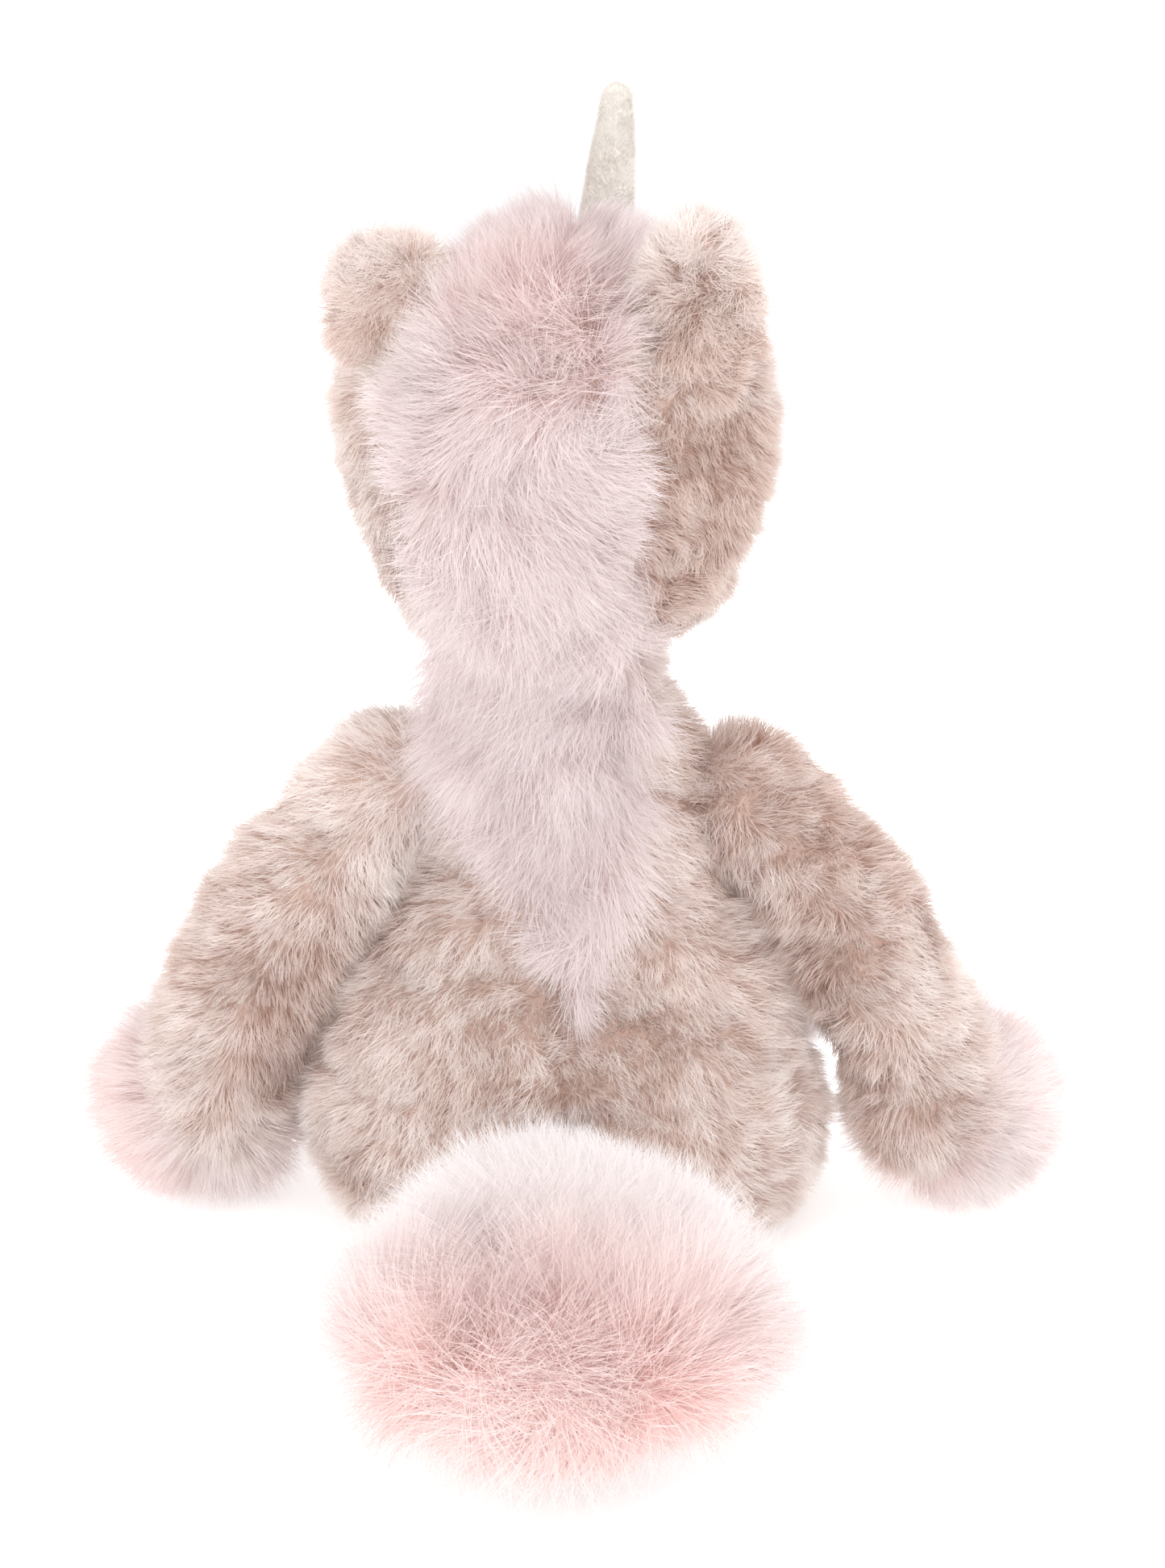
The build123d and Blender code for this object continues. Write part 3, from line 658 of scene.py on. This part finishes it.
# --- Torso ---
def torso_shape(p, n):
    """The centre-back seam, the side seams and the crease above the seat, drawn in, on the uneven filling."""
    back = smooth_step(-4, 10, p[:, 1])
    seam = -1.8 * bump(p[:, 0], 3.0) * back
    side = -1.4 * bump(p[:, 1] + 6, 3.0)
    crease = -2.2 * bump(p[:, 2] - 49 - 0.04 * np.abs(p[:, 0]), 4.0) * back
    return seam + side + crease + filling(p, *BODY_LUMPS)


torso = Skin(rings_of_ovals(TORSO, PILE, 60, 96)).pushed(torso_shape)
skin_object("torso_cover", torso, "torso", beige_cloth, "beige_plush", "left_back_panel", "right_back_panel",
            "belly_panel", "seat_panel", "torso_stuffing", "pellet_bag", fill=0.85)
rng = serial()
p, n = torso.roots(
    ROOTS_PER_MM2["torso"], rng, lambda p, n: ~mane_on_back(p) * np.where(p[:, 2] < 5, 0.5, 1.0)
)
flow = -UP + 0.5 * n * [1, 1, 0] + 0.25 * sideways(np.sign(p[:, 0]))
squeeze = np.where(p[:, 2] < 9, 0.45, 1.0)  # the pile that the toy sits on is pressed short
dark_share = np.clip(worn(p) + 0.25 * bump(p[:, 0], 12.0) * (p[:, 1] > 0), 0, 1)
for line in ARM_LINES.values():  # painted shade, darker where an arm lies against the torso
    off = np.sqrt(((p[:, None, :] - line[None, ::3]) ** 2).sum(-1)).min(1)
    dark_share = np.clip(dark_share + 0.8 * bump(np.maximum(off - 20, 0), 7.0), 0, 1)
half = p[:, 1] > 0
for word, part in (("back", half), ("front", ~half)):
    short_fur(f"torso_{word}_fur", "torso", p[part], n[part], flow[part], serial(), dark_share[part],
              length=SHORT["length"] * squeeze[part])

# --- Mane on the back ---
rng = serial()
p, n = torso.roots(ROOTS_PER_MM2["mane"], rng, lambda p, n: mane_on_back(p))
flow = -UP + sideways(0.02 * (p[:, 0] - 2))
back_length = np.interp(p[:, 2], [80, 95, 150], [17.0, 21.0, 24.0])
made = long_fur("back_mane_fur", "torso", p, n, flow, back_length, rng, pile=mane_pile, lean=(24, 74))
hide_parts("back_mane")

# --- Neck ---
neck_line = np.linspace((0, 3, 138), (2, 6, 184), 14)
neck = Skin(tube_rings(neck_line, np.interp(neck_line[:, 2], [138, 160, 184], [26, 23, 27.5]), 56))
made = skin_object("neck_cover", neck, None, beige_cloth, "beige_plush", "neck_stuffing", fill=0.8)
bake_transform(made)
rng = serial()
p, n = neck.roots(ROOTS_PER_MM2["neck"], rng, lambda p, n: (p[:, 1] < 5) | (p[:, 0] > 23) | (p[:, 0] < -13))
made = short_fur("neck_fur", None, p, n, -UP + 0.3 * n, rng, np.clip(0.5 + 0.3 * drift(p, 13.0)[:, 0], 0, 1))
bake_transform(made)
p, n = neck.roots(
    ROOTS_PER_MM2["neck_mane"], rng, lambda p, n: (p[:, 1] > 4) & (p[:, 0] < 24) & (p[:, 0] > -14)
)
made = long_fur("neck_mane_fur", None, p, n, -UP + 0.3 * n, np.full(len(p), 27.0), rng, pile=mane_pile,
                lean=(6, 60))
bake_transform(made)


# --- Head ---
def head_shape(p, n):
    """The face's middle seam and a slacker right side, on the uneven filling."""
    q = from_head(p)
    seam = -1.2 * bump(q[:, 0], 3.0) * smooth_step(0, 12, -q[:, 1])
    slack = -2.2 * smooth_step(15, 55, -q[:, 0]) * smooth_step(180, 200, q[:, 2])
    return seam + slack + filling(p, *BODY_LUMPS)


def off_muzzle(q):
    """How far each point is from the muzzle's middle: 1 at its edge."""
    return np.hypot((q[:, 0] - MUZZLE[0]) / 24, (q[:, 2] - MUZZLE[2]) / 20)


head = Skin(rings_of_ovals(HEAD, PILE, 56, 96, in_head)).pushed(head_shape)
skin_object("head_cover", head, "head", beige_cloth, "beige_plush", "left_head_panel", "right_head_panel",
            "head_stuffing", fill=0.85)


def short_on_head(p, n):
    """True where the head has short pile: clear of the mane and the muzzle."""
    q = from_head(p)
    return ~(mane_on_head(q) | ((off_muzzle(q) < 0.9) & (q[:, 1] < 0)))


rng = serial()
p, n = head.roots(ROOTS_PER_MM2["head"], rng, short_on_head)
q = from_head(p)
away = np.stack([q[:, 0] - MUZZLE[0], 0 * q[:, 0], q[:, 2] - MUZZLE[2]], axis=-1)
front = smooth_step(5, -25, q[:, 1])[:, None]
flow = (1 - front) * (-UP * 0.8 + 0.6 * n) + front * (unit(away) + 0.2 * UP)
face_length = 5.0 + 4.0 * np.clip(off_muzzle(q) - 0.6, 0, 1)
head_length = np.where(q[:, 1] < 0, face_length, SHORT["length"])
# Painted shade on the lower right side of the head's back, beside and below the mane
darker_side = smooth_step(24, 32, -q[:, 0]) * smooth_step(238, 226, q[:, 2]) * smooth_step(-10, 10, q[:, 1])
dark_share = np.clip(worn(p) + 0.9 * darker_side, 0, 1)
short_fur("head_fur", "head", p, n, flow, rng, dark_share, length=head_length)

# --- Mane on the head, growing from a parting high on its back ---
rng = serial()
p, n = head.roots(ROOTS_PER_MM2["mane"], rng, lambda p, n: mane_on_head(from_head(p)))
q = from_head(p)
from_parting = off_parting(p, in_head(HEAD_PARTING[0]), in_head(HEAD_PARTING[1]))
far = np.linalg.norm(from_parting, axis=1)
near = bump(far, 38.0)[:, None]
falling = -UP + sideways(0.026 * q[:, 0])
crown = smooth_step(250, 262, q[:, 2])[:, None]
fan = sideways(0.05 * q[:, 0]) + [0.0, -0.3, 0.2]
falling = (1 - crown) * falling + crown * (unit(from_parting) + fan)
flow = near * unit(from_parting) * 0.8 + (1.1 - near) * falling
settled = 1 - 0.4 * smooth_step(254, 264, q[:, 2])
mane_length = np.interp(q[:, 2], [170, 190, 250, 262], [30.0, 25.0, 23.0, 18.0])
mane_length = mane_length * (1 - 0.012 * np.abs(q[:, 0]))
# Pinker near the parting: painted warm shade in the depths where the pile parts
deep = 0.65 * bump(far, 15.0)
made = long_fur("head_mane_fur", "head", p, n, flow, mane_length, rng, deep, pile=mane_pile, lean=(20, 68),
                lay=settled, wave=0.6 + 1.2 * bump(far, 13.0), wave_size=11.0,
                stray=0.4 + 0.6 * bump(far, 12.0))
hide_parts("head_mane")

# --- Ears ---
EAR_DROOP = {"left": 4.0, "right": 10.0}
for word, (centre, halves) in EARS.items():
    body = f"{word}_ear"
    ear = Skin(egg_rings(centre, halves, 22, 32, in_head)).pushed(lumps(12.0, 0.5))
    skin_object(f"{word}_ear_cover_cloth", ear, body, beige_cloth, "beige_plush", f"{word}_ear_cover",
                fill=0.5)
    rng = serial()
    p, n = ear.roots(ROOTS_PER_MM2["ear"], rng, lambda p, n: from_head(n)[:, 1] > -0.75)
    spread = p - in_head(centre)
    drop = -UP * EAR_DROOP[word] + spread
    middle = bump(np.linalg.norm(spread, axis=1), 14.0)
    # Darker low on the ear and towards its middle
    dark_share = np.clip(0.95 - 0.05 * spread[:, 2] - 0.03 * np.abs(spread[:, 0]), 0, 1)
    short_fur(f"{word}_ear_fur", body, p, n, drop, rng, dark_share, length=10.0, lean=(28, 64),
              wave=8.0 + 14.0 * middle, wave_size=5.0, stray=0.4 + 0.5 * middle)
    lining = Skin(egg_rings((centre[0], centre[1] - 6.0, centre[2]), (9.5, 2.2, 9.5), 16, 28, in_head))
    skin_object(f"{word}_ear_lining_cloth", lining, body, pink_cloth, "pink_velour", f"{word}_ear_lining",
                fill=0.3)
    velour(f"{word}_ear_lining_fuzz", body, lining, pink_fuzz, "pink_velour", -UP, 1.6, rng)

# --- Arms ---
ARM_STATIONS = (0, 0.3, 0.65, 1)  # along the sleeve, from shoulder to wrist
ARM_RADII = {"left": (17, 18, 18.5, 17.5), "right": (15.5, 16, 17.5, 17.5)}
ARM_NAP = {"left": 0.9, "right": 0.35}  # how strongly the pile parts along the middle of the sleeve
ARM_CUFF_LENGTH = {"left": 23.0, "right": 21.0}
for word in SIDES:
    side = 1 if word == "left" else -1
    body = f"{word}_arm"
    shoulder = PIVOTS[f"{word}_arm_swing"]
    wrist, hand = np.array(WRISTS[word], float), np.array(HANDS[word], float)
    line = ARM_LINES[word]
    radius = np.interp(np.linspace(0, 1, len(line)), ARM_STATIONS, ARM_RADII[word])
    sleeve = Skin(tube_rings(line, radius, 48)).pushed(lumps(20.0, 0.8))
    skin_object(f"{word}_sleeve_cloth", sleeve, body, beige_cloth, "beige_plush", f"{word}_arm_sleeve",
                f"{word}_arm_stuffing", fill=0.75)
    rng = serial()
    p, n = sleeve.roots(ROOTS_PER_MM2["sleeve"], rng)
    nearest = np.argmin(((p[:, None, :] - line[None]) ** 2).sum(-1), axis=1)
    ahead = unit(np.gradient(line, axis=0))[nearest]
    outward = unit(np.cross(ahead, np.array([0.0, 1.0, 0.0])))
    lateral = dot(p - line[nearest], outward)[:, 0]
    parted = ARM_NAP[word] * np.tanh(lateral / 3.0)[:, None] * outward
    down = nearest / (len(line) - 1)  # 0 at the shoulder and 1 at the wrist
    # Painted shade on the left sleeve's inner side about the elbow, lighter towards its shoulder; the right
    # sleeve darker towards its shoulder
    if word == "left":
        elbow = smooth_step(0.35, 0.5, down) * smooth_step(0.85, 0.7, down)
        darker_side = 0.6 * elbow * smooth_step(4, -8, lateral) - 0.3 * smooth_step(0.45, 0.2, down)
    else:
        darker_side = 0.35 * smooth_step(0.55, 0.3, down)
    # Painted shade where the sleeve faces the torso
    facing_torso = smooth_step(0.1, 0.8, -side * n[:, 0]) * smooth_step(0.15, 0.35, down)
    dark_share = np.clip(worn(p) + darker_side + 0.5 * facing_torso, 0, 1)
    short_fur(f"{word}_sleeve_fur", body, p, n, ahead + parted, rng, dark_share, length=9.5)

    way = unit(hand - wrist)
    cuff_line = wrist + way * np.linspace(9, 24, 8)[:, None]
    cuff = Skin(tube_rings(cuff_line, np.interp(np.arange(8), [0, 3, 7], [13, 15, 11]), 40))
    skin_object(f"{word}_cuff_cloth", cuff, body, pink_cloth, "pink_long_pile", f"{word}_arm_cuff", fill=0.6)
    p, n = cuff.roots(ROOTS_PER_MM2["arm_cuff"], rng)
    long_fur(f"{word}_cuff_fur", body, p, n, way + 0 * p, np.full(len(p), ARM_CUFF_LENGTH[word]), rng,
             flushed(p, 12.0, 0.35), lean=(4, 40))

    hoof_line = wrist + way * np.linspace(16, 44, 10)[:, None]
    hoof = Skin(tube_rings(hoof_line, np.interp(np.arange(10), [0, 4, 9], [9, 10.5, 8.0]), 36))
    skin_object(f"{word}_hoof_cloth", hoof, body, beige_cloth, "beige_plush", f"{word}_arm_hoof",
                f"{word}_arm_hoof_stuffing", fill=0.85)
    p, n = hoof.roots(ROOTS_PER_MM2["hoof"], rng, lambda p, n: (p - wrist) @ way > 18)
    short_fur(f"{word}_hoof_fur", body, p, n, way + 0 * p, rng, length=7.5)
    ball = Skin(egg_rings(shoulder, (13, 13, 13), 16, 24))
    skin_object(f"{word}_shoulder_pad", ball, f"{word}_shoulder", beige_cloth, "fibre_filling",
                f"{word}_shoulder_stuffing", fill=0.8)

# --- Legs ---
for word in SIDES:
    body = f"{word}_leg"
    hip, ankle = PIVOTS[f"{word}_leg_lift"], np.array(ANKLES[word], float)
    way = unit(ankle - hip)
    line = np.linspace(hip, ankle, 20)
    sleeve = Skin(tube_rings(line, 15.0, 44)).pushed(lumps(20.0, 0.7))
    skin_object(f"{word}_leg_cloth", sleeve, body, beige_cloth, "beige_plush", f"{word}_leg_sleeve",
                f"{word}_leg_stuffing", fill=0.8)
    rng = serial()
    p, n = sleeve.roots(ROOTS_PER_MM2["leg"], rng)
    dark_share = np.clip(0.3 + 0.5 * drift(p, 13.0, 1.0)[:, 0], 0, 1)
    short_fur(f"{word}_leg_fur", body, p, n, way + 0 * p, rng, dark_share, length=np.where(p[:, 2] < 20, 5.0, 9.0))
    cuff_line = ankle + way * np.linspace(1, 21, 8)[:, None]
    cuff = Skin(tube_rings(cuff_line, np.interp(np.arange(8), [0, 3, 7], [13, 15, 13]), 40))
    skin_object(f"{word}_leg_cuff_cloth", cuff, body, pink_cloth, "pink_long_pile", f"{word}_leg_cuff",
                fill=0.6)
    p, n = cuff.roots(ROOTS_PER_MM2["leg_cuff"], rng)
    cuff_length = np.where(n[:, 2] < -0.3, 17.0, 20.0)
    long_fur(f"{word}_leg_cuff_fur", body, p, n, way + 0 * p, cuff_length, rng, flushed(p, 12.0, 0.3),
             lean=(0, 40))
    hoof_line = ankle + way * np.linspace(18, 40, 9)[:, None]
    hoof = Skin(tube_rings(hoof_line, np.interp(np.arange(9), [0, 5, 8], [12, 13.5, 12.0]), 36, True, False))
    skin_object(f"{word}_leg_hoof_cloth", hoof, body, beige_cloth, "beige_plush", f"{word}_leg_hoof",
                f"{word}_leg_hoof_stuffing", fill=0.85)
    p, n = hoof.roots(ROOTS_PER_MM2["leg_hoof"], rng, lambda p, n: (n @ way < 0.6) & ((p - ankle) @ way > 20))
    short_fur(f"{word}_leg_hoof_fur", body, p, n, way + 0 * p, rng, length=7.0)
    pad_line = ankle + way * np.array([40.0, 44.0, 47.0, 48.6])[:, None]
    pad = Skin(tube_rings(pad_line, [11, 13.6, 13.0, 10.0], 40, False, False))
    skin_object(f"{word}_foot_pad_cloth", pad, body, pink_cloth, "pink_velour", f"{word}_foot_pad", fill=0.5)
    velour(f"{word}_foot_pad_fuzz", body, pad, pink_fuzz, "pink_velour", -UP, 1.6, rng)
    ball = Skin(egg_rings(hip, (14, 14, 14), 16, 24))
    skin_object(f"{word}_hip_pad", ball, f"{word}_hip", beige_cloth, "fibre_filling", f"{word}_hip_stuffing",
                fill=0.8)

# --- Tail ---
tail_rings = egg_rings(TAIL, (41, 52, 19), 44, 64)
broader = 0.76 + 0.27 * smooth_step(118, 182, tail_rings[..., 1])  # it broadens towards its tip
tail_rings[..., 0] = TAIL[0] + (tail_rings[..., 0] - TAIL[0]) * broader
tail = Skin(tail_rings).pushed(lumps(26.0, 2.2))
skin_object("tail_cloth", tail, "tail", pink_cloth, "pink_long_pile", "tail_cover", "tail_stuffing", fill=0.6)
rng = serial()
p, n = tail.roots(ROOTS_PER_MM2["tail"], rng, lambda p, n: np.where(n[:, 2] < -0.5, 0.5, 1.0))
from_parting = off_parting(p, *TAIL_PARTING)
flow = unit(from_parting) + 0.15 * n
far = np.linalg.norm(from_parting, axis=1)
tail_length = np.where(n[:, 2] < -0.4, 14.0, 26.0)
half = p[:, 0] > TAIL[0]
# Pinker near the parting: painted warm shade in the depths where the pile parts
deep = 0.95 * bump(far, 26.0)
for word, part in (("left", half), ("right", ~half)):
    rng = serial()
    long_fur(f"tail_{word}_fur", "tail", p[part], n[part], flow[part], tail_length[part], rng, deep[part],
             lean=(22, 60), wave=0.55 + 1.5 * bump(far[part], 26.0), wave_size=14.0,
             stray=0.4 + 0.7 * bump(far[part], 22.0))
root = PIVOTS["tail_swing"]
pile_start = 54  # just inside the torso's own pile
stalk = Skin(tube_rings(np.linspace(root + [0, 6, 0], TAIL + [0, -30, 0], 14), 9.5, 32))
skin_object("tail_stalk", stalk, "tail", pink_cloth, "pink_long_pile", fill=0.6)
rng = serial()
p, n = stalk.roots(ROOTS_PER_MM2["stalk"], rng, lambda p, n: p[:, 1] > pile_start)
stalk_length = np.interp(p[:, 1], [pile_start, 100], [8.0, 18.0])
long_fur("tail_stalk_fur", "tail", p, n, [0.0, 1.0, 0.0] + 0 * p, stalk_length, rng, lean=(10, 60))
ball = Skin(egg_rings(root, (10, 10, 10), 16, 24))
skin_object("tail_root_pad", ball, "tail_root", beige_cloth, "fibre_filling", "tail_root_stuffing", fill=0.8)

# --- Horn ---
horn_line = np.linspace(in_head(HORN[0]), in_head(HORN[1]), 24)
horn = Skin(tube_rings(horn_line, np.linspace(*HORN_RADII, 24), 40)).pushed(lumps(14.0, 0.35))
skin_object("horn_cloth", horn, "horn", cream_velour, "cream_velour", "horn_cover", "horn_stuffing", fill=0.8)
velour("horn_fuzz", "horn", horn, cream_fuzz, "cream_velour", UP, 1.5, serial(), ROOTS_PER_MM2["horn"])

# --- Muzzle, nostrils, mouth and eyes ---
muzzle = Skin(egg_rings(MUZZLE, (23, 28, 19), 30, 48, in_head)).pushed(lumps(16.0, 0.4))
skin_object("muzzle_cloth", muzzle, "head", cream_velour, "cream_velour", "muzzle_cover", "muzzle_stuffing",
            fill=0.9)
velour("muzzle_fuzz", "head", muzzle, cream_fuzz, "cream_velour", UP, 1.5, serial(),
       keep=lambda p, n: from_head(p)[:, 1] < -48)
CARRIED_OVER = {
    "left_eye": dark_plastic,
    "right_eye": dark_plastic,
    "left_eye_washer": white_plastic,
    "right_eye_washer": white_plastic,
    "left_nostril": thread,
    "right_nostril": thread,
    "mouth_stitch": thread,
}
for node, material in CARRIED_OVER.items():
    frame["nodes"][node].data.materials.clear()
    frame["nodes"][node].data.materials.append(material)

# --- Floor, light and camera ---
FLOOR_SIZE = 8
FLOOR_GLOW = 0.36  # brings the floor close to the background's white
bpy.ops.mesh.primitive_plane_add(size=FLOOR_SIZE)
floor = bpy.context.object
floor.name = "floor"
floor_material, tree, shader = plain_material("pale_floor", 0.95, 0.0, 0.0)
tones = ramp(tree, [(0.3, (252, 252, 252)), (0.7, (254, 254, 254))])
tree.links.new(noise(tree, 2.0), tones.inputs[0])
tree.links.new(tones.outputs[0], shader.inputs["Base Color"])
shader.inputs["Emission Color"].default_value = (1, 1, 1, 1)
shader.inputs["Emission Strength"].default_value = FLOOR_GLOW
floor.data.materials.append(floor_material)

WORLD_STRENGTH = 1.02
scene = bpy.context.scene
world = bpy.data.worlds.new("studio")
scene.world = world
world.use_nodes = True
world.node_tree.nodes["Background"].inputs["Color"].default_value = (1, 1, 1, 1)
world.node_tree.nodes["Background"].inputs["Strength"].default_value = WORLD_STRENGTH
scene.view_settings.view_transform = "Standard"


LIGHT_AIM = (0, 0, 0.15)


def soft_light(name, place, size, power):
    light = bpy.data.lights.new(name, "AREA")
    light.shape = "DISK"
    light.size = size
    light.energy = power
    lamp = bpy.data.objects.new(name, light)
    scene.collection.objects.link(lamp)
    lamp.location = place
    lamp.rotation_euler = (Vector(LIGHT_AIM) - Vector(place)).to_track_quat("-Z", "Y").to_euler()


soft_light("key", (0.5, 1.1, 1.3), 1.3, 8.0)
soft_light("front", (0.2, -1.3, 0.9), 1.3, 5.0)
soft_light("fill", (-1.2, 0.8, 0.7), 1.2, 4.0)

CAMERA_PLACE = (-0.0044, 0.9, 0.33)
CAMERA_PITCH = 12.75  # degrees below the horizon
LENS = 77.6
camera = bpy.data.objects.new("camera", bpy.data.cameras.new("camera"))
scene.collection.objects.link(camera)
camera.data.lens = LENS
camera.data.clip_start = 0.05
camera.location = CAMERA_PLACE
camera.rotation_euler = (math.radians(90 - CAMERA_PITCH), 0, math.pi)
scene.camera = camera
